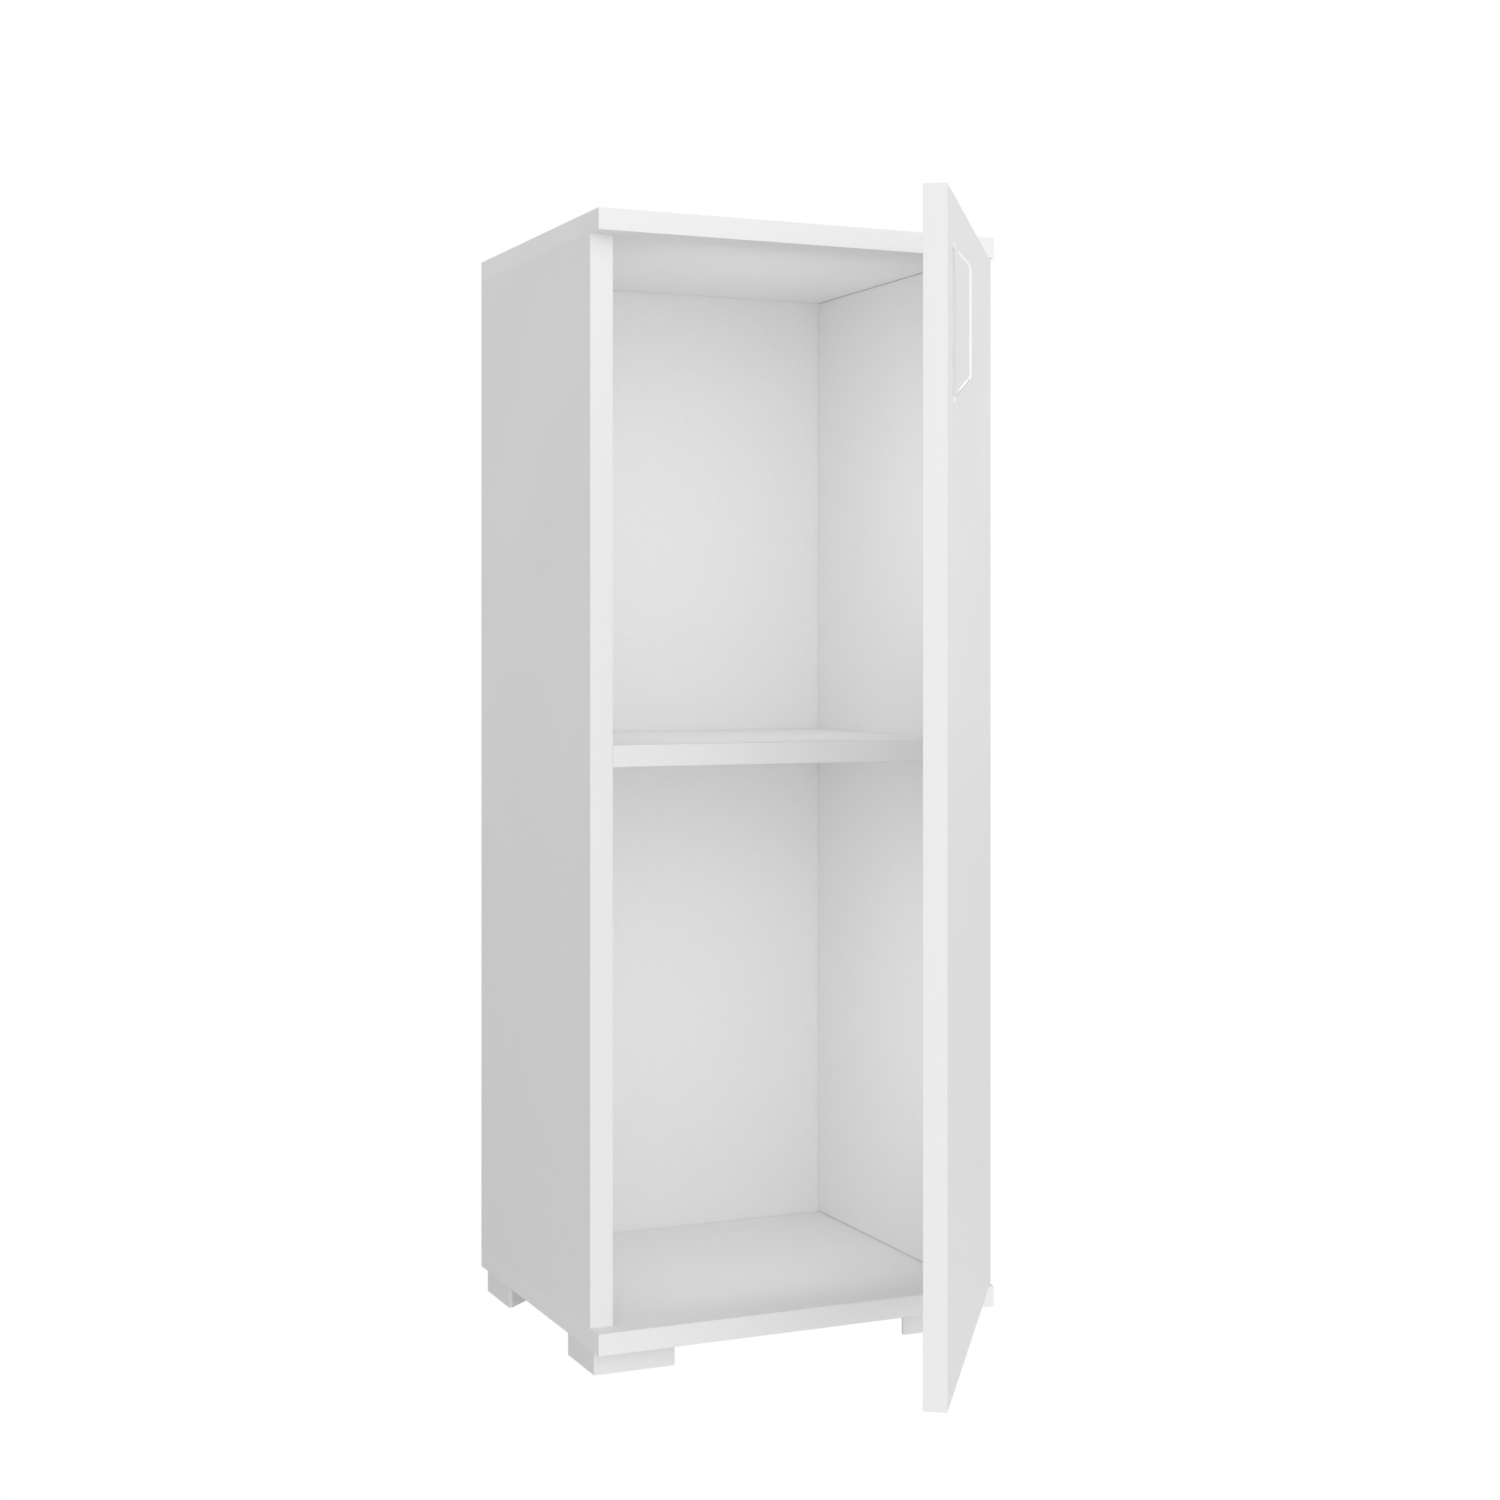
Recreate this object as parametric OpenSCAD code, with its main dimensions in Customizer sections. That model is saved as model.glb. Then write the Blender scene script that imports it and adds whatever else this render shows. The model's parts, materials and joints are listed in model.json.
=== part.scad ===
// Single-door locker cabinet: a white melamine-faced carcass on four corner feet, with one
// fixed-height shelf and one full-height door. The door hangs on two concealed cup hinges on
// the right side panel and lies between the top and bottom boards.
//
// Cabinet coordinates: x runs right from the left side, y runs back from the front edges of
// the top and bottom boards, z runs up from the floor. place() moves them to the part's own
// origin, on the floor under the middle of the box that holds the cabinet and its open door.

/* [Cabinet] */
// Overall width of the carcass
body_w = 370; // [360:1:420]
// Overall depth of the carcass with its back panel
body_d = 317; // [300:1:360]
// Height of the carcass without its feet
body_h = 939; // [880:1:1000]
// Thickness of the top, bottom, shelf and door boards
board_t = 18; // [18:0.1:18.5]
// Thickness of the two side panels
side_t = 20; // [19.5:0.1:20]
// Thickness of the back panel
back_t = 3; // [2.5:0.5:4]
// Thickness of the edge banding
band_t = 0.8; // [0.5:0.1:1]
// How far the side panels' front edges lie behind the top's front edge
side_setback = 20; // [20:0.5:24]

/* [Shelf] */
// Clear height of the compartment under the shelf
lower_clear_h = 462; // [380:1:520]
// How far the shelf's front edge lies behind the top's front edge
shelf_setback = 21; // [21:0.5:40]
// Gap between the shelf's end and the side panel
shelf_gap = 0.5; // [0.3:0.1:1]

/* [Door] */
// Opening angle of the door as the part is drawn
door_open = 55.4; // [0:0.1:95]
// Gap between the door's edge and the outside of the side panel
door_gap_x = 1; // [0.8:0.1:1.2]
// Gap above and below the door
door_gap_z = 1; // [0.8:0.1:2]

/* [Handle] */
// Overall length of the handle
handle_l = 120; // [110:1:160]
// Length of the handle's straight grip
grip_l = 83; // [60:1:84]
// How far the grip stands out from the door
handle_reach = 13.5; // [11:0.5:20]
// Width of the handle's strip
strip_w = 6; // [5:0.5:12]
// Thickness of the handle's strip
strip_t = 1.2; // [1:0.1:1.6]
// Distance from the door's free edge to the handle's centre line
handle_inset = 42; // [30:1:60]
// Distance from the door's top edge to the handle's upper end
handle_drop = 37; // [25:1:200]

/* [Feet] */
// Height of the feet
foot_h = 23; // [20:1:30]
// Length of a foot along the cabinet's width
foot_w = 72; // [65:1:80]
// Length of a foot along the cabinet's depth
foot_d = 64; // [60:1:75]
// How far the feet stand in from the cabinet's sides
foot_side_inset = 5; // [0:0.5:8]
// How far the front feet stand in from the front
foot_front_inset = 24.5; // [20:0.5:30]
// How far the rear feet stand in from the back
foot_rear_inset = 6; // [4:0.5:10]

/* [Hinges] */
// Distance from each end of the door to its hinge
hinge_inset = 100; // [80:1:160]

/* [Hidden] */
$fn = 48;

// Carcass
board_d = body_d - back_t;
total_h = foot_h + body_h;
top_z = total_h - board_t;
bottom_z = foot_h;
side_z = bottom_z + board_t;
side_h = top_z - side_z;
right_x = body_w - side_t;
shelf_z = side_z + lower_clear_h;
shelf_rear_gap = 1;
back_inset = 1;
cut = 1;

// Carcass fasteners
side_centres = [side_t / 2, body_w - side_t / 2];
screw_ys = [100, body_d - 82];
screw_head_r = 5;
screw_head_h = 3;
screw_shank_r = 3.5;
screw_thread_r = 2.5;
screw_thread_h = 32;
cap_r = 6;
cap_h = 0.8;
dowel_ys = [60, body_d - 42];
dowel_r = 4;
dowel_l = 30;
dowel_in_board = 11;
pin_ys = [shelf_setback + 37, body_d - 41];
pin_r = 2.5;
pin_depth = 8;
pin_reach = 8;
pin_pad_w = 8;
pin_pad_t = 1.5;
nail_r = 0.8;
nail_l = 20;
nail_head_r = 2;
nail_head_h = 0.6;
nail_end = 20;
nail_steps = 4;
nail_zs = [for (i = [0:nail_steps]) side_z + nail_end + i * (side_h - 2 * nail_end) / nail_steps];
nail_xs = [body_w / 3, body_w * 2 / 3];

// Feet
foot_tip = 3;
foot_wall = 3;
foot_top = 4;
foot_seat = 6;
foot_boss_r = 5.5;
foot_holes = [[14, 14], [46, 12], [12, 40]];
foot_slope = norm([foot_w - foot_tip, foot_d - foot_tip]);
foot_screw_r = 1.75;
foot_screw_gap = 0.25;
foot_screw_bite = 12;
foot_head_r = 3.8;
foot_head_gap = 0.3;
foot_head_h = 2.4;

// Door, drawn closed and then swung open
door_x0 = door_gap_x;
door_x1 = body_w - door_gap_x;
door_w = door_x1 - door_x0;
door_z0 = side_z + door_gap_z;
door_z1 = top_z - door_gap_z;
door_h = door_z1 - door_z0;
axis_in = 6.5;
axis_x = door_x1 - axis_in;
axis_y = 6;

// The open door's free corner is the part's foremost point
front_y = axis_y - (door_w - axis_in) * sin(door_open) - axis_y * cos(door_open);
mid_y = (body_d + front_y) / 2;

// Handle
handle_x = door_x0 + handle_inset;
handle_z = door_z1 - handle_drop - handle_l / 2;
handle_pad = 4;
pad_bend = 1;
grip_bend = 3;
bend_steps = 6;
stud_z = handle_l / 2 - handle_pad / 2;
stud_r = 1.5;
stud_l = 14;
stud_cover = 4;
nut_r = 2.5;
nut_flange_r = 4.5;
nut_flange_h = 1.6;
nut_slot_w = 1.2;
nut_slot_depth = 0.8;

// Hinges: the cup turns with the door, and the link swings on the arm's rivet
hinge_zs = [door_z0 + hinge_inset, door_z1 - hinge_inset];
cup_r = 17.5;
cup_edge = 3;
cup_x = door_x1 - cup_edge - cup_r;
cup_depth = 13;
cup_wall = 1;
flange_t = 0.8;
flange_lip = 0.6;
cross_w = 0.8;
cup_cross_l = 3.6;
cup_cross_depth = 0.6;
wing_off = 9.5;
wing_r = 6;
wing_hole_z = 22.5;
cup_screw_r = 1.5;
cup_screw_bite = 10;
cup_screw_head_r = 3.2;
cup_screw_head_h = 1.2;
cup_pin_x = door_x1 - 7.65;
cup_pin_y = 10.35;
cup_pin_r = 0.9;
cup_pin_l = 22;
rivet_x = right_x - 13.2;
rivet_y = side_setback + 0.5;
rivet_r = 1.25;
rivet_head_r = 2.2;
rivet_head_h = 0.5;

// The link turns at a constant part of the door's angle, the other way
link_ratio = -0.159;
link_closed = -22.2;
link_angle = link_closed + link_ratio * door_open;
link_path = [[0, 0], [9, -4], [19, -5.6], [22.2, -4.1], [25, -1.2], [26, 0]];
link_half_t = 1.3;
link_w = 8;
link_eye_r = 2.4;
link_eye_w = 12;
running_gap = 0.05;
slot_ends = [[25.1, 0.05], [26.7, 0.05]];
slot_r = 1.2;
slot_wall = 0.6;

arm_cheek_t = 1.2;
arm_cheek_gap = 0.2;
arm_half_w = link_eye_w / 2 + arm_cheek_gap + arm_cheek_t;
arm_nose_r = 2.8;
arm_x0 = rivet_x - arm_nose_r;
arm_x1 = right_x - 6;
arm_y1 = side_setback + 41;
arm_web_t = 1.4;
arm_web_y0 = side_setback + 6;
arm_slope_y1 = side_setback + 12;
plate_x0 = right_x - 2;
plate_y = side_setback + 37;
plate_y0 = side_setback + 21;
plate_y1 = side_setback + 48;
plate_half_w = 8;
plate_wing_r = 5;
plate_hole_z = 16;
ridge_x0 = right_x - 12;
ridge_half_w = 6;
plate_screw_r = 2.5;
plate_screw_bite = 12;
plate_screw_head_r = 4.2;
plate_screw_head_h = 1.4;
fixing_y = side_setback + 34;
fixing_r = 2;
fixing_head_r = 3.4;
fixing_head_h = 1.8;
fixing_bite = 8;
adjusting_y = side_setback + 24;
adjusting_r = 2.5;
adjusting_proud = 0.4;
arm_cross_l = 4;
arm_cross_depth = 0.8;

board_white = "white";
band_white = "whitesmoke";
plastic_white = "snow";
raw_wood = "burlywood";
zinc = "silver";
nickel = "lightgrey";
bright_chrome = "gainsboro";

// Moves cabinet coordinates to the part's own origin
module place() {
    translate([-body_w / 2, -mid_y, 0]) children();
}

// Turns what is drawn on the closed door to the door's opening angle
module swing() {
    translate([axis_x, axis_y, 0])
        rotate([0, 0, door_open])
            translate([-axis_x, -axis_y, 0]) children();
}

module x_cylinder(x, y, z, h, r) {
    translate([x, y, z]) rotate([0, 90, 0]) cylinder(h = h, r = r);
}

module y_cylinder(x, y, z, h, r) {
    translate([x, y, z]) rotate([-90, 0, 0]) cylinder(h = h, r = r);
}

module z_cylinder(x, y, z, h, r) {
    translate([x, y, z]) cylinder(h = h, r = r);
}

// A bar with round ends from point a to point b, seen from above
module capsule(a, b, r, z0, h) {
    dx = b[0] - a[0];
    dy = b[1] - a[1];
    translate([a[0], a[1], z0]) {
        cylinder(h = h, r = r);
        rotate([0, 0, atan2(dy, dx)]) translate([0, -r, 0]) cube([norm([dx, dy]), 2 * r, h]);
        translate([dx, dy, 0]) cylinder(h = h, r = r);
    }
}

// Unit vector square to the path's stretch after point i
function across(path, i) =
    let (d = path[i + 1] - path[i]) [-d[1], d[0]] / norm(d);

// Unit-width offset of point i, mitred where two stretches meet
function mitre(path, i) =
    let (last = len(path) - 1,
        a = across(path, max(i - 1, 0)),
        b = across(path, min(i, last - 1)),
        m = (a + b) / norm(a + b))
    m / (m * a);

// Outline of a path made into a strip, half_t to each side
function thick_path(path, half_t) =
    concat([for (i = [0:len(path) - 1]) path[i] + half_t * mitre(path, i)],
        [for (i = [len(path) - 1:-1:0]) path[i] - half_t * mitre(path, i)]);

// ---- Carcass fasteners, each drawn where it sits ----

// One side joint's shapes are drawn for the bottom board and flipped for the top board
module at_each_end() {
    translate([0, 0, bottom_z]) children();
    translate([0, 0, total_h]) mirror([0, 0, 1]) children();
}

module all_carcass_screws() {
    at_each_end()
        for (x = side_centres, y = screw_ys) {
            z_cylinder(x, y, cap_h, screw_head_h, screw_head_r);
            z_cylinder(x, y, cap_h, board_t - cap_h, screw_shank_r);
            z_cylinder(x, y, board_t, screw_thread_h, screw_thread_r);
        }
}

module all_caps() {
    at_each_end()
        for (x = side_centres, y = screw_ys) z_cylinder(x, y, 0, cap_h, cap_r);
}

module all_dowels() {
    at_each_end()
        for (x = side_centres, y = dowel_ys)
            z_cylinder(x, y, board_t - dowel_in_board, dowel_l, dowel_r);
}

module all_shelf_pins() {
    for (y = pin_ys) {
        x_cylinder(side_t - pin_depth, y, shelf_z - pin_r, pin_depth + pin_reach, pin_r);
        x_cylinder(right_x - pin_reach, y, shelf_z - pin_r, pin_depth + pin_reach, pin_r);
        for (x = [side_t, right_x - pin_reach])
            translate([x, y - pin_pad_w / 2, shelf_z - pin_pad_t])
                cube([pin_reach, pin_pad_w, pin_pad_t]);
    }
}

module nail(x, z) {
    y_cylinder(x, body_d - nail_l, z, nail_l - nail_head_h, nail_r);
    y_cylinder(x, body_d - nail_head_h, z, nail_head_h, nail_head_r);
}

module all_nails() {
    for (x = side_centres, z = nail_zs) nail(x, z);
    for (x = nail_xs, z = [bottom_z + board_t / 2, top_z + board_t / 2]) nail(x, z);
}

module all_plate_screws() {
    for (hz = hinge_zs, side = [-1, 1]) {
        z = hz + side * plate_hole_z;
        x_cylinder(plate_x0, plate_y, z, plate_screw_head_h, plate_screw_head_r);
        x_cylinder(plate_x0, plate_y, z, right_x - plate_x0 + plate_screw_bite, plate_screw_r);
    }
}

// ---- Carcass boards ----

module horizontal_board(z) {
    translate([band_t, band_t, z])
        cube([body_w - 2 * band_t, board_d - band_t, board_t]);
}

module horizontal_bands(z) {
    translate([0, 0, z]) cube([body_w, band_t, board_t]);
    for (x = [0, body_w - band_t])
        translate([x, band_t, z]) cube([band_t, board_d - band_t, board_t]);
}

module side_board(x) {
    translate([x, side_setback + band_t, side_z])
        cube([side_t, board_d - side_setback - band_t, side_h]);
}

module side_band(x) {
    translate([x, side_setback, side_z]) cube([side_t, band_t, side_h]);
}

module carcass_holes() {
    all_carcass_screws();
    all_dowels();
    all_nails();
}

module top_panel() {
    place() color(board_white) difference() {
        horizontal_board(top_z);
        carcass_holes();
        all_caps();
    }
}

module bottom_panel() {
    place() color(board_white) difference() {
        horizontal_board(bottom_z);
        carcass_holes();
        all_caps();
        all_foot_screws();
    }
}

module left_side_panel() {
    place() color(board_white) difference() {
        side_board(0);
        carcass_holes();
        all_shelf_pins();
    }
}

module right_side_panel() {
    place() color(board_white) difference() {
        side_board(right_x);
        carcass_holes();
        all_shelf_pins();
        all_plate_screws();
    }
}

module back_panel() {
    place() color(board_white) difference() {
        translate([back_inset, board_d, bottom_z + back_inset])
            cube([body_w - 2 * back_inset, back_t, body_h - 2 * back_inset]);
        all_nails();
    }
}

module shelf_blank() {
    translate([side_t + shelf_gap, shelf_setback, shelf_z])
        cube([right_x - side_t - 2 * shelf_gap, board_d - shelf_setback - shelf_rear_gap, board_t]);
}

module shelf_front() {
    translate([side_t + shelf_gap, shelf_setback, shelf_z])
        cube([right_x - side_t - 2 * shelf_gap, band_t, board_t]);
}

module shelf() {
    place() color(board_white) difference() {
        shelf_blank();
        translate([0, -cut, 0]) shelf_front();
        shelf_front();
    }
}

module top_edge_band() {
    place() color(band_white) horizontal_bands(top_z);
}

module bottom_edge_band() {
    place() color(band_white) horizontal_bands(bottom_z);
}

module left_side_edge_band() {
    place() color(band_white) side_band(0);
}

module right_side_edge_band() {
    place() color(band_white) side_band(right_x);
}

module shelf_edge_band() {
    place() color(band_white) shelf_front();
}

module shelf_pins() {
    place() color(zinc) all_shelf_pins();
}

module carcass_screws() {
    place() color(zinc) all_carcass_screws();
}

module carcass_dowels() {
    place() color(raw_wood) all_dowels();
}

module screw_caps() {
    place() color(plastic_white) all_caps();
}

module back_nails() {
    place() color(zinc) all_nails();
}

// ---- Feet ----

// Puts a foot drawn at the front left corner under one of the four corners
module at_corner(right, rear) {
    x = right ? body_w - foot_side_inset : foot_side_inset;
    y = rear ? body_d - foot_rear_inset : foot_front_inset;
    translate([x, y, 0]) mirror([right ? 1 : 0, 0, 0]) mirror([0, rear ? 1 : 0, 0]) children();
}

// Plan of a corner foot, drawn in by a wall's thickness: a triangle with cut tips
function foot_plan(wall) =
    let (reach = foot_w * (foot_d - foot_tip) + foot_tip * (foot_w - foot_tip) - wall * foot_slope,
        x_far = (reach - wall * (foot_w - foot_tip)) / (foot_d - foot_tip),
        y_far = (reach - wall * (foot_d - foot_tip)) / (foot_w - foot_tip))
    wall == 0
        ? [[0, 0], [foot_w, 0], [foot_w, foot_tip], [foot_tip, foot_d], [0, foot_d]]
        : [[wall, wall], [x_far, wall], [wall, y_far]];

module foot_body() {
    color(plastic_white) difference() {
        linear_extrude(foot_h) polygon(foot_plan(0));
        difference() {
            translate([0, 0, -cut]) linear_extrude(foot_h - foot_top + cut)
                polygon(foot_plan(foot_wall));
            for (hole = foot_holes) z_cylinder(hole[0], hole[1], -cut, foot_h, foot_boss_r);
        }
        for (hole = foot_holes) {
            z_cylinder(hole[0], hole[1], -cut, foot_h - foot_seat + cut, foot_head_r + foot_head_gap);
            z_cylinder(hole[0], hole[1], 0, foot_h + cut, foot_screw_r + foot_screw_gap);
        }
    }
}

module all_foot_screws() {
    for (right = [false, true], rear = [false, true])
        at_corner(right, rear)
            for (hole = foot_holes) {
                z_cylinder(hole[0], hole[1], foot_h - foot_seat - foot_head_h,
                    foot_head_h, foot_head_r);
                z_cylinder(hole[0], hole[1], foot_h - foot_seat,
                    foot_seat + foot_screw_bite, foot_screw_r);
            }
}

module front_left_foot() {
    place() at_corner(false, false) foot_body();
}

module front_right_foot() {
    place() at_corner(true, false) foot_body();
}

module rear_left_foot() {
    place() at_corner(false, true) foot_body();
}

module rear_right_foot() {
    place() at_corner(true, true) foot_body();
}

module foot_screws() {
    place() color(zinc) all_foot_screws();
}

// ---- Door, drawn closed ----

module cup_screw(z) {
    x = cup_x - wing_off;
    y_cylinder(x, board_t - cup_screw_bite, z, cup_screw_bite + flange_t, cup_screw_r);
    y_cylinder(x, board_t + flange_t, z, cup_screw_head_h, cup_screw_head_r);
}

module all_cup_screws() {
    for (hz = hinge_zs, side = [-1, 1]) cup_screw(hz + side * wing_hole_z);
}

module all_barrel_nuts() {
    for (side = [-1, 1]) {
        z = handle_z + side * stud_z;
        y_cylinder(handle_x, stud_cover, z, board_t - stud_cover, nut_r);
        y_cylinder(handle_x, board_t, z, nut_flange_h, nut_flange_r);
    }
}

module all_studs() {
    for (side = [-1, 1]) y_cylinder(handle_x, 0, handle_z + side * stud_z, stud_l, stud_r);
}

module door_panel() {
    place() swing() color(board_white) difference() {
        translate([door_x0 + band_t, 0, door_z0 + band_t])
            cube([door_w - 2 * band_t, board_t, door_h - 2 * band_t]);
        for (hz = hinge_zs) y_cylinder(cup_x, board_t - cup_depth, hz, cup_depth + cut, cup_r);
        all_cup_screws();
        all_barrel_nuts();
        all_studs();
    }
}

module door_edge_band() {
    place() swing() color(band_white) {
        for (z = [door_z0, door_z1 - band_t])
            translate([door_x0, 0, z]) cube([door_w, board_t, band_t]);
        for (x = [door_x0, door_x1 - band_t])
            translate([x, 0, door_z0 + band_t]) cube([band_t, board_t, door_h - 2 * band_t]);
    }
}

// Points that round off the corner p between a and b, beginning reach before it
function rounded(a, p, b, reach) =
    let (from = p + reach * (a - p) / norm(a - p),
        to = p + reach * (b - p) / norm(b - p))
    [for (i = [0:bend_steps])
        let (t = i / bend_steps) (1 - t) * (1 - t) * from + 2 * t * (1 - t) * p + t * t * to];

// Middle of the bent strip: two pads on the door, two sloping legs and a straight grip, as [y, z]
function handle_path() =
    let (pad_y = -strip_t / 2,
        grip_y = strip_t / 2 - handle_reach,
        end = [pad_y, handle_l / 2],
        foot = [pad_y, handle_l / 2 - handle_pad],
        shoulder = [grip_y, grip_l / 2],
        middle = [grip_y, 0],
        half = concat([end], rounded(end, foot, shoulder, pad_bend),
            rounded(foot, shoulder, middle, grip_bend)))
    concat(half, [for (i = [len(half) - 1:-1:0]) [half[i][0], -half[i][1]]]);

module handle() {
    place() swing() color(bright_chrome) {
        translate([handle_x - strip_w / 2, 0, handle_z])
            rotate([90, 0, 90]) linear_extrude(strip_w)
                polygon(thick_path(handle_path(), strip_t / 2));
        all_studs();
    }
}

module handle_barrel_nuts() {
    place() swing() color(zinc) difference() {
        all_barrel_nuts();
        all_studs();
        for (side = [-1, 1])
            translate([handle_x, board_t + nut_flange_h, handle_z + side * stud_z])
                cube([2 * nut_flange_r + cut, 2 * nut_slot_depth, nut_slot_w], center = true);
    }
}

// ---- Hinges ----

module cup_pin(hz) {
    z_cylinder(cup_pin_x, cup_pin_y, hz - cup_pin_l / 2, cup_pin_l, cup_pin_r);
}

module hinge_cup(hz) {
    place() swing() color(nickel) difference() {
        union() {
            y_cylinder(cup_x, board_t - cup_depth, hz, cup_depth, cup_r);
            y_cylinder(cup_x, board_t, hz, flange_t, cup_r + flange_lip);
            translate([cup_x - wing_off - wing_r, board_t, hz - wing_hole_z])
                cube([2 * wing_r, flange_t, 2 * wing_hole_z]);
            for (side = [-1, 1])
                y_cylinder(cup_x - wing_off, board_t, hz + side * wing_hole_z, flange_t, wing_r);
        }
        y_cylinder(cup_x, board_t - cup_depth + cup_wall, hz, cup_depth + cut, cup_r - cup_wall);
        cup_pin(hz);
        all_cup_screws();
    }
}

module upper_hinge_cup() {
    hinge_cup(hinge_zs[1]);
}

module lower_hinge_cup() {
    hinge_cup(hinge_zs[0]);
}

module hinge_cup_screws() {
    place() swing() color(zinc) difference() {
        all_cup_screws();
        for (hz = hinge_zs, side = [-1, 1])
            translate([cup_x - wing_off, board_t + flange_t + cup_screw_head_h,
                hz + side * wing_hole_z])
                for (turn = [0, 90])
                    rotate([0, turn, 0])
                        cube([cup_cross_l, 2 * cup_cross_depth, cross_w], center = true);
    }
}

module hinge_cup_pins() {
    place() swing() color(zinc) for (hz = hinge_zs) cup_pin(hz);
}

module hinge_link(hz) {
    place() translate([rivet_x, rivet_y, hz]) rotate([0, 0, link_angle]) color(nickel)
        difference() {
            union() {
                translate([0, 0, -link_w / 2]) linear_extrude(link_w)
                    polygon(thick_path(link_path, link_half_t));
                capsule(slot_ends[0], slot_ends[1], slot_r + slot_wall, -link_w / 2, link_w);
                z_cylinder(0, 0, -link_eye_w / 2, link_eye_w, link_eye_r);
            }
            capsule(slot_ends[0], slot_ends[1], slot_r, -link_w, 2 * link_w);
            z_cylinder(0, 0, -link_eye_w, 2 * link_eye_w, rivet_r + running_gap);
        }
}

module upper_hinge_link() {
    hinge_link(hinge_zs[1]);
}

module lower_hinge_link() {
    hinge_link(hinge_zs[0]);
}

module link_rivet(hz) {
    z_cylinder(rivet_x, rivet_y, hz - arm_half_w, 2 * arm_half_w, rivet_r);
    z_cylinder(rivet_x, rivet_y, hz - arm_half_w - rivet_head_h, rivet_head_h, rivet_head_r);
    z_cylinder(rivet_x, rivet_y, hz + arm_half_w, rivet_head_h, rivet_head_r);
}

module hinge_link_rivets() {
    place() color(zinc) for (hz = hinge_zs) link_rivet(hz);
}

module fixing_screw(hz) {
    x_cylinder(arm_x0 - fixing_head_h, fixing_y, hz, fixing_head_h, fixing_head_r);
    x_cylinder(arm_x0, fixing_y, hz, ridge_x0 + fixing_bite - arm_x0, fixing_r);
}

module adjusting_screw(hz) {
    x0 = arm_x0 - adjusting_proud;
    x_cylinder(x0, adjusting_y, hz, ridge_x0 - x0, adjusting_r);
}

module arm_cheek(z) {
    translate([0, 0, z]) {
        linear_extrude(arm_cheek_t)
            polygon([[arm_x0, rivet_y], [rivet_x + arm_nose_r, rivet_y],
                [arm_x1, arm_slope_y1], [arm_x1, arm_y1], [arm_x0, arm_y1]]);
        translate([rivet_x, rivet_y, 0]) cylinder(h = arm_cheek_t, r = arm_nose_r);
    }
}

module hinge_arm(hz) {
    place() color(nickel) difference() {
        translate([0, 0, hz]) {
            arm_cheek(-arm_half_w);
            arm_cheek(arm_half_w - arm_cheek_t);
            translate([arm_x0, arm_web_y0, -arm_half_w])
                cube([arm_web_t, arm_y1 - arm_web_y0, 2 * arm_half_w]);
        }
        link_rivet(hz);
        fixing_screw(hz);
        adjusting_screw(hz);
    }
}

module upper_hinge_arm() {
    hinge_arm(hinge_zs[1]);
}

module lower_hinge_arm() {
    hinge_arm(hinge_zs[0]);
}

module mounting_plate(hz) {
    place() color(nickel) difference() {
        union() {
            translate([plate_x0, plate_y0, hz - plate_half_w])
                cube([right_x - plate_x0, plate_y1 - plate_y0, 2 * plate_half_w]);
            translate([plate_x0, plate_y - plate_wing_r, hz - plate_hole_z])
                cube([right_x - plate_x0, 2 * plate_wing_r, 2 * plate_hole_z]);
            for (side = [-1, 1])
                x_cylinder(plate_x0, plate_y, hz + side * plate_hole_z, right_x - plate_x0,
                    plate_wing_r);
            translate([ridge_x0, plate_y0, hz - ridge_half_w])
                cube([plate_x0 - ridge_x0, plate_y1 - plate_y0, 2 * ridge_half_w]);
        }
        all_plate_screws();
        fixing_screw(hz);
    }
}

module upper_mounting_plate() {
    mounting_plate(hinge_zs[1]);
}

module lower_mounting_plate() {
    mounting_plate(hinge_zs[0]);
}

// Cross recess of a screw whose head faces the other side panel
module screw_cross(x, y, z) {
    translate([x, y, z])
        for (turn = [0, 90])
            rotate([turn, 0, 0]) cube([2 * arm_cross_depth, arm_cross_l, cross_w], center = true);
}

module mounting_plate_screws() {
    place() color(zinc) difference() {
        all_plate_screws();
        for (hz = hinge_zs, side = [-1, 1]) screw_cross(plate_x0, plate_y, hz + side * plate_hole_z);
    }
}

module hinge_fixing_screws() {
    place() color(zinc) for (hz = hinge_zs) difference() {
        fixing_screw(hz);
        screw_cross(arm_x0 - fixing_head_h, fixing_y, hz);
    }
}

module hinge_adjusting_screws() {
    place() color(zinc) for (hz = hinge_zs) difference() {
        adjusting_screw(hz);
        screw_cross(arm_x0 - adjusting_proud, adjusting_y, hz);
    }
}

top_panel();
bottom_panel();
left_side_panel();
right_side_panel();
back_panel();
shelf();
top_edge_band();
bottom_edge_band();
left_side_edge_band();
right_side_edge_band();
shelf_edge_band();
shelf_pins();
carcass_screws();
carcass_dowels();
screw_caps();
back_nails();
front_left_foot();
front_right_foot();
rear_left_foot();
rear_right_foot();
foot_screws();
door_panel();
door_edge_band();
handle();
handle_barrel_nuts();
upper_hinge_cup();
lower_hinge_cup();
hinge_cup_screws();
hinge_cup_pins();
upper_hinge_link();
lower_hinge_link();
hinge_link_rivets();
upper_hinge_arm();
lower_hinge_arm();
upper_mounting_plate();
lower_mounting_plate();
mounting_plate_screws();
hinge_fixing_screws();
hinge_adjusting_screws();
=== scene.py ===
"""Looks of the locker cabinet: finishes, rounded edges, studio light and camera."""
import json
import math

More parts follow.
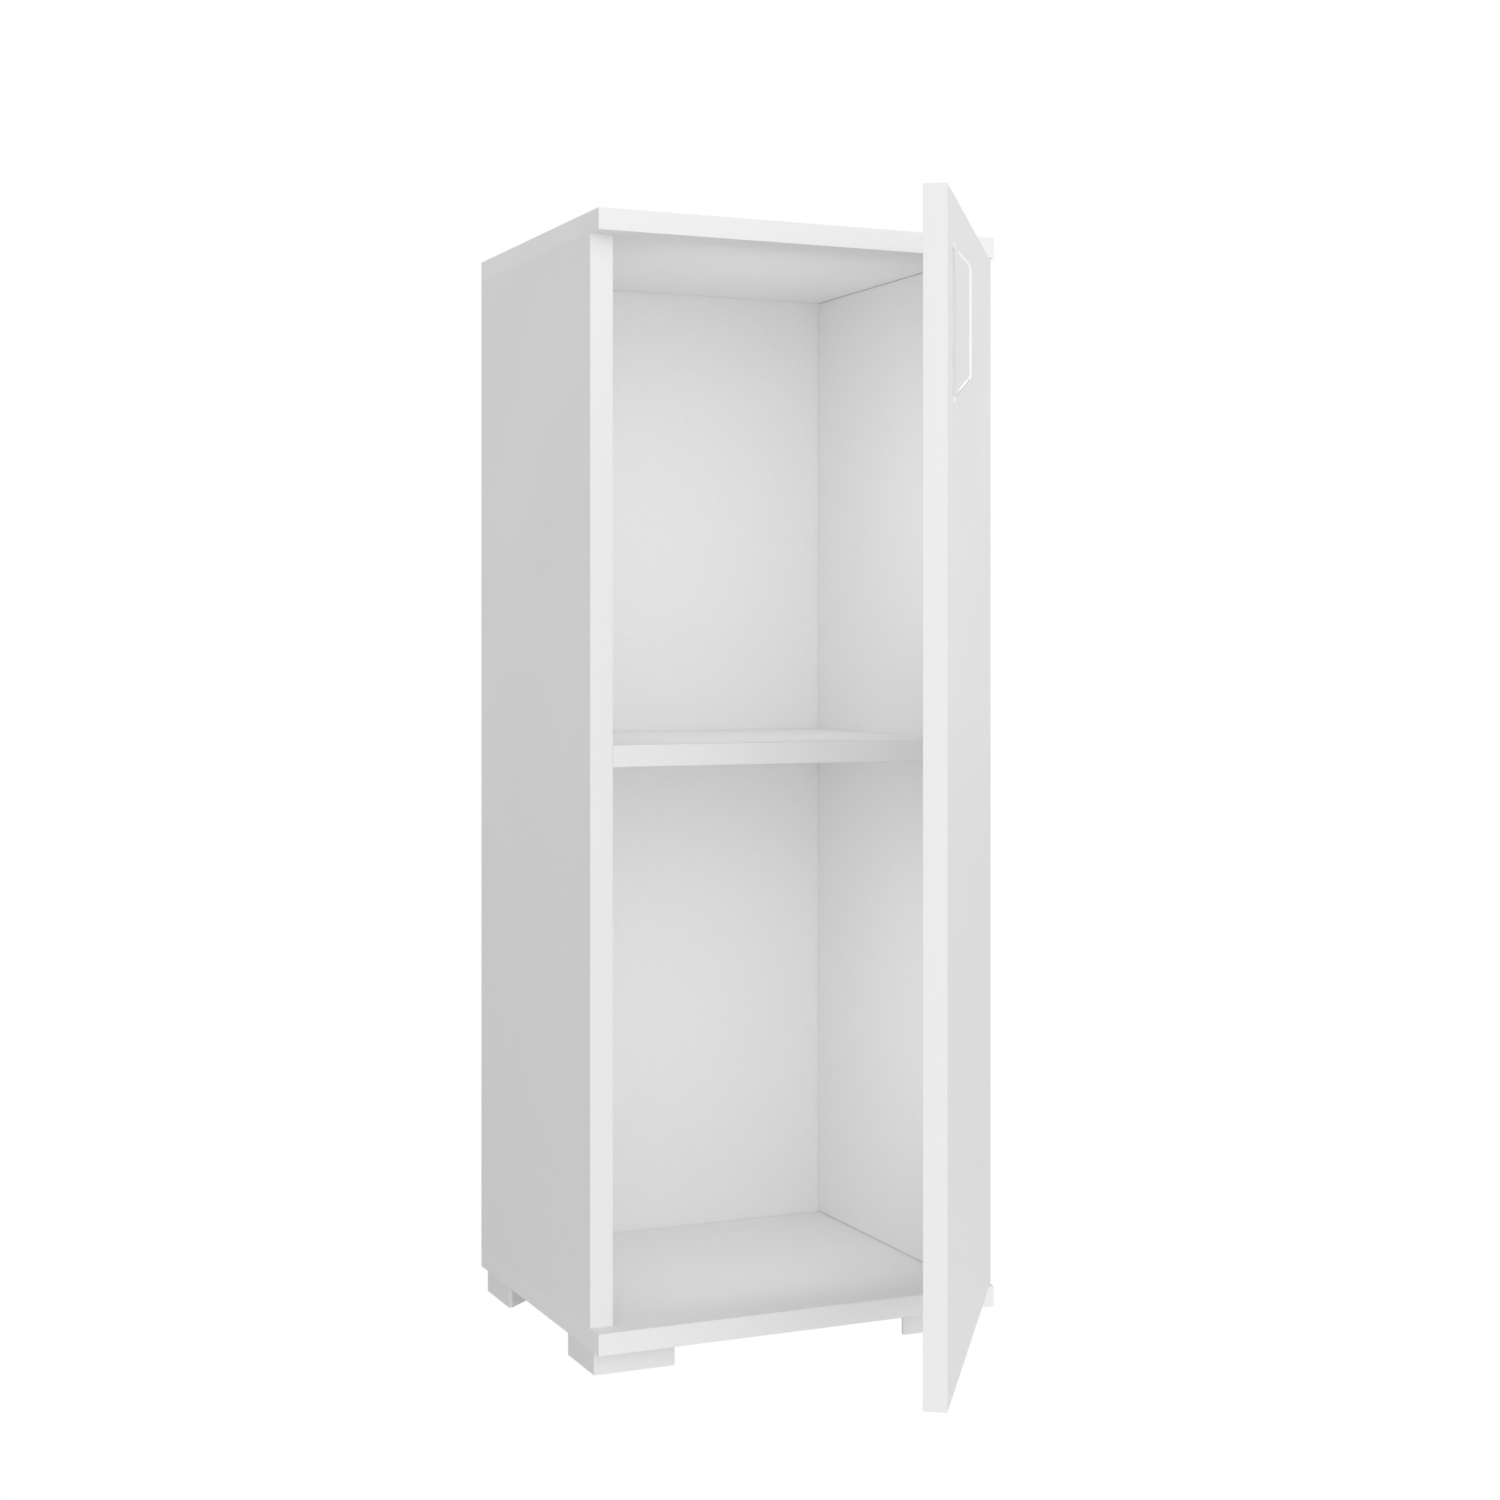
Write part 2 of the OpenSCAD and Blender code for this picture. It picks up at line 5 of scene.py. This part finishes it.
import bpy
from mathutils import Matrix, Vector


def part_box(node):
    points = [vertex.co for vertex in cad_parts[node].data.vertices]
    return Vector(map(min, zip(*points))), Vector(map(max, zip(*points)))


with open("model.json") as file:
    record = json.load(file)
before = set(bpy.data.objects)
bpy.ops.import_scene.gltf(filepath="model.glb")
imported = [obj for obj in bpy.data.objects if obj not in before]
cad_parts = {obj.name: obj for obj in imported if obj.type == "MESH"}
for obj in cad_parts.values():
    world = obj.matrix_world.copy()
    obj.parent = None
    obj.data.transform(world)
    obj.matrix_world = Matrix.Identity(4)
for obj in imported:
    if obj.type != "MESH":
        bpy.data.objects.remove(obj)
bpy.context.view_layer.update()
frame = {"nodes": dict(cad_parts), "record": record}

NODES = frame["nodes"]
SLOTS = {part["node"]: part["material_slot"] for part in frame["record"]["subparts"]}
COLOURS = {m["slot"]: m["base_color"] for m in frame["record"]["materials"]}

MM = 0.001
SAME = 0.001 * MM

# Rounded and chamfered edges
BAND_RADIUS = 0.25 * MM
FOOT_RADIUS = 0.9 * MM
PLATE_RADIUS = 0.3 * MM
HANDLE_RADIUS = 0.25 * MM
JOINT_LINE = 0.9 * MM
SHARP = math.radians(40)
JOINTED_BOARDS = ("left_side_panel", "right_side_panel", "top_panel", "bottom_panel")

# Finishes that the record has no colour for, and the grey of painted joint shade
# Painted shade: this grey darkens the joint chamfers the way the shade in a joint would
JOINT_SHADE_GREY = (0.5, 0.49, 0.48)
PALE_FIBRE = (0.36, 0.215, 0.115)
DARK_FIBRE = (0.20, 0.105, 0.05)
FIBRE_FLECK = (0.13, 0.07, 0.035)
BLUE_ZINC = (0.60, 0.63, 0.68)
DARK_BEECH = (0.56, 0.36, 0.20)
BEECH_FLECK = (0.36, 0.20, 0.10)
WHITE_SPECULAR = 0.25

# Camera, placed from the top front left corner of the cabinet
CAMERA_FROM_CORNER = Vector((-0.6877, -1.8481, -0.3574))
CAMERA_TURN = math.radians(-24.004)
SENSOR_WIDTH = 36
LENS = 57.84
SHIFT_DOWN = -0.0703

# Studio
TOWARDS_FRONT = (0, -1, 0)
TOWARDS_BACK = (0, 1, 0)
EVEN_LIGHT = 0.125
FRONT_LOBE = 1.53
GLOSS_WHITE = 1.0
FLOOR_HALF = 12
FLOOR_GREY = 0.8
FLOOR_ROUGHNESS = 0.9
FLOOR_GLOW = 0.12
FRONT_PLACE = (-0.6, -3.0, 0.9)
FRONT_AIM = (0.6, 3.0, -0.4)
FRONT_SIZE = (2, 2)
FRONT_POWER = 10.8
UPPER_FILL = 0.19
LOWER_FILL = 0.185
FILL_SHARE = 0.6
FILL_BEHIND_SHELF_FRONT = 4 * MM
VIEW_GAMMA = 1.5


# ---- Node materials ----


class Shader:
    """A material's node tree, with short calls for the nodes that the finishes share."""

    def __init__(self, name):
        self.material = bpy.data.materials.new(name)
        self.material.use_nodes = True
        self.nodes = self.material.node_tree.nodes
        self.links = self.material.node_tree.links
        self.surface = self.nodes["Principled BSDF"]
        self.place = self.nodes.new("ShaderNodeTexCoord").outputs["Object"]

    def set(self, **values):
        for socket, value in values.items():
            self.surface.inputs[socket.replace("_", " ")].default_value = value

    def link(self, source, target):
        self.links.new(source, target)

    def stretched(self, scale):
        """Object coordinates in metres, multiplied by scale along each axis."""
        mapping = self.nodes.new("ShaderNodeMapping")
        mapping.inputs["Scale"].default_value = scale
        self.link(self.place, mapping.inputs["Vector"])
        return mapping.outputs["Vector"]

    def noise(self, scale, detail=2.0, vector=None, roughness=0.5):
        """Noise with scale cells to the metre."""
        noise = self.nodes.new("ShaderNodeTexNoise")
        noise.inputs["Scale"].default_value = scale
        noise.inputs["Detail"].default_value = detail
        noise.inputs["Roughness"].default_value = roughness
        self.link(vector or self.place, noise.inputs["Vector"])
        return noise.outputs["Fac"]

    def spread(self, value, low, high, source_low=0.3, source_high=0.7):
        """value's usual span, source_low to source_high, moved to low to high."""
        spread = self.nodes.new("ShaderNodeMapRange")
        spread.inputs["From Min"].default_value = source_low
        spread.inputs["From Max"].default_value = source_high
        spread.inputs["To Min"].default_value = low
        spread.inputs["To Max"].default_value = high
        self.link(value, spread.inputs["Value"])
        return spread.outputs["Result"]

    def shaded(self, colour, value):
        """colour multiplied by value."""
        scaled = self.nodes.new("ShaderNodeVectorMath")
        scaled.operation = "SCALE"
        scaled.inputs[0].default_value = colour[:3]
        self.link(value, scaled.inputs["Scale"])
        return scaled.outputs["Vector"]

    def mixed(self, share, first, second):
        """first where share is 0 and second where it is 1, for two colours or colour sockets."""
        mix = self.nodes.new("ShaderNodeMix")
        mix.data_type = "RGBA"
        self.link(share, mix.inputs["Factor"])
        for socket, colour in ((mix.inputs["A"], first), (mix.inputs["B"], second)):
            if isinstance(colour, bpy.types.NodeSocket):
                self.link(colour, socket)
            else:
                socket.default_value = (*colour[:3], 1)
        return mix.outputs["Result"]

    def multiply(self, first, second):
        product = self.nodes.new("ShaderNodeMath")
        product.operation = "MULTIPLY"
        self.link(first, product.inputs[0])
        self.link(second, product.inputs[1])
        return product.outputs["Value"]

    def colour(self, socket):
        self.link(socket, self.surface.inputs["Base Color"])

    def roughness(self, socket):
        self.link(socket, self.surface.inputs["Roughness"])

    def bump(self, height, distance, strength=1.0):
        """Adds a bump to what the surface has already; distance is its height in metres."""
        bump = self.nodes.new("ShaderNodeBump")
        bump.inputs["Distance"].default_value = distance
        bump.inputs["Strength"].default_value = strength
        self.link(height, bump.inputs["Height"])
        normal = self.surface.inputs["Normal"]
        if normal.is_linked:
            self.link(normal.links[0].from_socket, bump.inputs["Normal"])
        self.link(bump.outputs["Normal"], normal)


def white_melamine():
    """Melamine foil: a fine pearl texture, and a sheen that changes a little over the board."""
    s = Shader("white_melamine")
    pearl = s.noise(700, detail=3)
    s.colour(s.shaded(COLOURS["white_melamine"], s.spread(pearl, 0.955, 1.0)))
    s.roughness(s.spread(s.noise(9, detail=4), 0.40, 0.50))
    s.bump(pearl, 0.02 * MM)
    s.bump(s.noise(60), 0.03 * MM)
    s.set(Specular_IOR_Level=WHITE_SPECULAR)
    return s


def white_edge_band():
    """Plastic banding: the same white, smoother, with faint scraper marks along the board's edge."""
    s = Shader("white_edge_band")
    pearl = s.noise(600, detail=3)
    s.colour(s.shaded(COLOURS["white_edge_band"], s.spread(pearl, 0.965, 1.0)))
    s.roughness(s.spread(s.noise(14, detail=3), 0.34, 0.44))
    s.bump(pearl, 0.015 * MM)
    s.bump(s.noise(1, detail=2, vector=s.stretched((900, 900, 12))), 0.01 * MM)
    s.set(Specular_IOR_Level=WHITE_SPECULAR)
    return s


def white_backboard(rear_y):
    """Thin fibreboard: white lacquer towards the inside, bare brown fibre behind."""
    s = Shader("white_backboard")
    pearl = s.noise(500, detail=3)
    lacquer = s.shaded(COLOURS["white_backboard"], s.spread(pearl, 0.955, 1.0))
    fibres = s.noise(1, detail=6, vector=s.stretched((900, 900, 350)), roughness=0.7)
    flecks = s.noise(240, detail=5, roughness=0.65)
    brown = s.mixed(s.spread(fibres, 0, 1, 0.35, 0.65), DARK_FIBRE, PALE_FIBRE)
    brown = s.mixed(s.spread(flecks, 0, 0.5, 0.55, 0.75), brown, FIBRE_FLECK)
    split = s.nodes.new("ShaderNodeSeparateXYZ")
    s.link(s.place, split.inputs["Vector"])
    behind = s.spread(split.outputs["Y"], 0, 1, rear_y - 0.4 * MM, rear_y - 0.2 * MM)
    s.colour(s.mixed(behind, lacquer, brown))
    s.roughness(s.spread(behind, 0.42, 0.8, 0, 1))
    s.bump(pearl, 0.015 * MM)
    s.bump(s.multiply(fibres, behind), 0.12 * MM)
    s.set(Specular_IOR_Level=WHITE_SPECULAR)
    return s


def white_plastic():
    """Injection-moulded plastic with a fine spark-eroded texture."""
    s = Shader("white_plastic")
    spark = s.noise(1100, detail=4, roughness=0.6)
    s.colour(s.shaded(COLOURS["white_plastic"], s.spread(spark, 0.95, 1.0)))
    s.roughness(s.spread(s.noise(40, detail=3), 0.42, 0.54))
    s.bump(spark, 0.03 * MM)
    s.set(Subsurface_Weight=0.04, Subsurface_Scale=1.5 * MM, Specular_IOR_Level=WHITE_SPECULAR)
    return s


def handle_chrome():
    """Polished chrome with the faintest buffing marks."""
    s = Shader("handle_chrome")
    buffing = s.noise(1, detail=3, vector=s.stretched((1500, 1500, 40)))
    s.colour(s.shaded(COLOURS["handle_chrome"], s.spread(buffing, 0.97, 1.0)))
    s.roughness(s.spread(s.noise(120, detail=3), 0.05, 0.10))
    s.bump(buffing, 0.002 * MM)
    s.set(Metallic=1.0)
    return s


def nickel_plate():
    """Stamped and nickel-plated steel: soft drawing marks and a slightly uneven satin shine."""
    s = Shader("nickel_plate")
    drawn = s.noise(1, detail=3, vector=s.stretched((900, 900, 60)))
    s.colour(s.shaded(COLOURS["nickel_plate"], s.spread(s.noise(70, detail=4), 0.92, 1.0)))
    s.roughness(s.spread(drawn, 0.20, 0.34))
    s.bump(drawn, 0.006 * MM)
    s.set(Metallic=1.0)
    return s


def zinc_plate():
    """Bright zinc on screws, pins and nails: a mottled, slightly bluish sheen."""
    s = Shader("zinc_plate")
    spangle = s.noise(420, detail=4, roughness=0.6)
    mottled = s.mixed(s.spread(spangle, 0, 1), COLOURS["zinc_plate"], BLUE_ZINC)
    s.colour(mottled)
    s.roughness(s.spread(spangle, 0.26, 0.42))
    s.bump(spangle, 0.008 * MM)
    s.set(Metallic=1.0)
    return s


def beech_wood():
    """Raw beech dowels: fine grain along the dowel, with short dark flecks."""
    s = Shader("beech_wood")
    grain = s.noise(1, detail=5, vector=s.stretched((1800, 1800, 90)), roughness=0.6)
    flecks = s.noise(1, detail=2, vector=s.stretched((2600, 2600, 500)))
    wood = s.mixed(s.spread(grain, 0, 1), COLOURS["beech_wood"], DARK_BEECH)
    s.colour(s.mixed(s.spread(flecks, 0, 0.6, 0.62, 0.72), wood, BEECH_FLECK))
    s.roughness(s.spread(grain, 0.6, 0.75))
    s.bump(grain, 0.03 * MM)
    return s


def painted_joint_shade():
    """Grey on the joint chamfers, seen only as the thin dark line along a joint. The grey is painted
    shade, with a faint speckle.
    """
    s = Shader("painted_joint_shade")
    shade_speckle = s.noise(900, detail=4)
    # This grey is painted shade for the joint line, not a material the board has
    s.colour(s.shaded(JOINT_SHADE_GREY, s.spread(shade_speckle, 0.8, 1.0)))
    s.roughness(s.spread(shade_speckle, 0.6, 0.8))
    s.bump(shade_speckle, 0.03 * MM)
    return s


def make_materials():
    """The record's finishes by slot name, in place of the plain ones that came with the frame."""
    for plain in list(bpy.data.materials):
        bpy.data.materials.remove(plain)
    rear_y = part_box("back_panel")[1].y
    made = [white_melamine(), white_edge_band(), white_backboard(rear_y), white_plastic(),
            handle_chrome(), nickel_plate(), zinc_plate(), beech_wood(), painted_joint_shade()]
    return {s.material.name: s.material for s in made}


def paint(materials):
    for name, node in NODES.items():
        node.data.materials.clear()
        node.data.materials.append(materials[SLOTS[name]])
    for name in JOINTED_BOARDS:
        # The joint chamfers take the painted-shade grey as each board's second slot
        NODES[name].data.materials.append(materials["painted_joint_shade"])


# ---- Rounded edges and joint lines on the CAD nodes ----


def bevelled(name, width, segments):
    """A weld and a bevel on a CAD node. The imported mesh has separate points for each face,
    and the weld joins them."""
    node = NODES[name]
    weld = node.modifiers.new("weld", "WELD")
    weld.merge_threshold = SAME
    bevel = node.modifiers.new("bevel", "BEVEL")
    bevel.width = width
    bevel.segments = segments
    return bevel


def ease(name, radius, segments=2):
    """Rounds all of a CAD node's sharp corners."""
    bevel = bevelled(name, radius, segments)
    bevel.limit_method = "ANGLE"
    bevel.angle_limit = SHARP


def on_plane(point, axis, at):
    return abs(getattr(point, axis) - at) < SAME


def chamfer(name, *edges):
    """Cuts the straight edges that lie on two of a board's planes, such as
    ("x", high x, "z", low z). The cut shows the board's second material, a grey that paints the
    joint's shade."""
    mesh = NODES[name].data
    weights = mesh.attributes.new("bevel_weight_edge", "FLOAT", "EDGE")
    for edge in mesh.edges:
        ends = [mesh.vertices[i].co for i in edge.vertices]
        for first, first_at, second, second_at in edges:
            if all(on_plane(p, first, first_at) and on_plane(p, second, second_at) for p in ends):
                weights.data[edge.index].value = 1
    bevel = bevelled(name, JOINT_LINE, segments=1)
    bevel.limit_method = "WEIGHT"
    # The chamfer faces get the second slot, the grey of painted joint shade
    bevel.material = 1


def ease_edges():
    for name in NODES:
        if name.endswith("_edge_band"):
            ease(name, BAND_RADIUS)
        if name.endswith("_foot"):
            ease(name, FOOT_RADIUS, segments=3)
        if name.endswith("_mounting_plate"):
            ease(name, PLATE_RADIUS)
    ease("handle", HANDLE_RADIUS)


def open_joint_lines():
    """The boards' inner edges are broken a little, and the cut carries painted shade, so each inside
    corner of the carcass shows a fine dark joint line."""
    for name in ("left_side_panel", "right_side_panel"):
        low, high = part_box(name)
        inner = high.x if name.startswith("left") else low.x
        chamfer(name, ("x", inner, "y", high.y), ("x", inner, "z", low.z),
                ("x", inner, "z", high.z))
    low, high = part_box("top_panel")
    chamfer("top_panel", ("y", high.y, "z", low.z))
    low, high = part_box("bottom_panel")
    chamfer("bottom_panel", ("y", high.y, "z", high.z))


# ---- Studio ----


def make_camera():
    """Level camera in front of the cabinet and to its left. The lens is shifted down, so the
    uprights stay upright."""
    camera = bpy.data.objects.new("camera", bpy.data.cameras.new("camera"))
    bpy.context.scene.collection.objects.link(camera)
    bpy.context.scene.camera = camera
    low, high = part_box("top_edge_band")
    corner = Vector((low.x, low.y, high.z))
    camera.location = corner + CAMERA_FROM_CORNER
    camera.rotation_euler = (math.radians(90), 0, CAMERA_TURN)
    camera.data.sensor_width = SENSOR_WIDTH
    camera.data.lens = LENS
    camera.data.shift_y = SHIFT_DOWN
    camera.data.clip_start = 0.05
    camera.data.clip_end = 100


def emission(nodes, strength):
    glow = nodes.new("ShaderNodeEmission")
    glow.inputs["Strength"].default_value = strength
    return glow.outputs["Emission"]


def white_to_camera(tree, lit, output):
    """The studio's floor and surround look plain white, however much light they give."""
    path = tree.nodes.new("ShaderNodeLightPath")
    mix = tree.nodes.new("ShaderNodeMixShader")
    tree.links.new(path.outputs["Is Camera Ray"], mix.inputs["Fac"])
    tree.links.new(lit, mix.inputs[1])
    tree.links.new(emission(tree.nodes, 1), mix.inputs[2])
    tree.links.new(mix.outputs["Shader"], output.inputs["Surface"])


def make_world():
    """A soft surround: even light from everywhere and more from the front. Polished pieces
    reflect plain white."""
    world = bpy.data.worlds.new("studio")
    bpy.context.scene.world = world
    world.use_nodes = True
    tree = world.node_tree
    nodes, links = tree.nodes, tree.links
    facing = nodes.new("ShaderNodeVectorMath")
    facing.operation = "DOT_PRODUCT"
    facing.inputs[1].default_value = TOWARDS_FRONT
    links.new(nodes.new("ShaderNodeTexCoord").outputs["Generated"], facing.inputs[0])
    ahead = nodes.new("ShaderNodeMath")
    ahead.operation = "MAXIMUM"
    ahead.inputs[1].default_value = 0
    links.new(facing.outputs["Value"], ahead.inputs[0])
    total = nodes.new("ShaderNodeMath")
    total.operation = "MULTIPLY_ADD"
    total.inputs[1].default_value = FRONT_LOBE
    total.inputs[2].default_value = EVEN_LIGHT
    links.new(ahead.outputs["Value"], total.inputs[0])
    glossy = nodes.new("ShaderNodeMix")
    glossy.inputs["B"].default_value = GLOSS_WHITE
    links.new(nodes.new("ShaderNodeLightPath").outputs["Is Glossy Ray"], glossy.inputs["Factor"])
    links.new(total.outputs["Value"], glossy.inputs["A"])
    light = nodes["Background"]
    links.new(glossy.outputs["Result"], light.inputs["Strength"])
    light.inputs["Color"].default_value = (1, 1, 1, 1)
    white_to_camera(tree, light.outputs["Background"], nodes["World Output"])


def make_floor():
    """A plain pale floor, with a faint glow that keeps the feet and undersides light."""
    corners = [(x * FLOOR_HALF, y * FLOOR_HALF, 0) for x, y in ((-1, -1), (1, -1), (1, 1), (-1, 1))]
    mesh = bpy.data.meshes.new("floor")
    mesh.from_pydata(corners, [], [(0, 1, 2, 3)])
    floor = bpy.data.objects.new("floor", mesh)
    bpy.context.scene.collection.objects.link(floor)
    material = bpy.data.materials.new("floor")
    material.use_nodes = True
    tree = material.node_tree
    shader = tree.nodes["Principled BSDF"]
    shader.inputs["Base Color"].default_value = (FLOOR_GREY, FLOOR_GREY, FLOOR_GREY, 1)
    shader.inputs["Roughness"].default_value = FLOOR_ROUGHNESS
    shader.inputs["Emission Color"].default_value = (1, 1, 1, 1)
    shader.inputs["Emission Strength"].default_value = FLOOR_GLOW
    white_to_camera(tree, shader.outputs["BSDF"], tree.nodes["Material Output"])
    mesh.materials.append(material)


def make_softbox(name, place, facing, size, power):
    """A rectangular lamp that shines along facing and doesn't show."""
    light = bpy.data.lights.new(name, "AREA")
    light.shape = "RECTANGLE"
    light.size, light.size_y = size
    light.energy = power
    softbox = bpy.data.objects.new(name, light)
    bpy.context.scene.collection.objects.link(softbox)
    softbox.location = place
    softbox.rotation_euler = Vector(facing).to_track_quat("-Z", "Y").to_euler()
    softbox.visible_camera = False


def make_fill(name, under, over, power):
    """A soft lamp across the front of the compartment between two boards, which makes the
    inside nearly as bright as the outside."""
    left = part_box("left_side_panel")[1].x
    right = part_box("right_side_panel")[0].x
    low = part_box(under)[1].z
    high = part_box(over)[0].z
    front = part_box("shelf")[0].y + FILL_BEHIND_SHELF_FRONT
    place = ((left + right) / 2, front, (low + high) / 2)
    size = (FILL_SHARE * (right - left), FILL_SHARE * (high - low))
    make_softbox(name, place, TOWARDS_BACK, size, power)


def make_studio():
    make_world()
    make_floor()
    make_softbox("front_softbox", FRONT_PLACE, FRONT_AIM, FRONT_SIZE, FRONT_POWER)
    make_fill("upper_fill", "shelf", "top_panel", UPPER_FILL)
    make_fill("lower_fill", "bottom_panel", "shelf", LOWER_FILL)
    view = bpy.context.scene.view_settings
    view.view_transform = "Standard"
    view.gamma = VIEW_GAMMA


paint(make_materials())
ease_edges()
open_joint_lines()
make_camera()
make_studio()
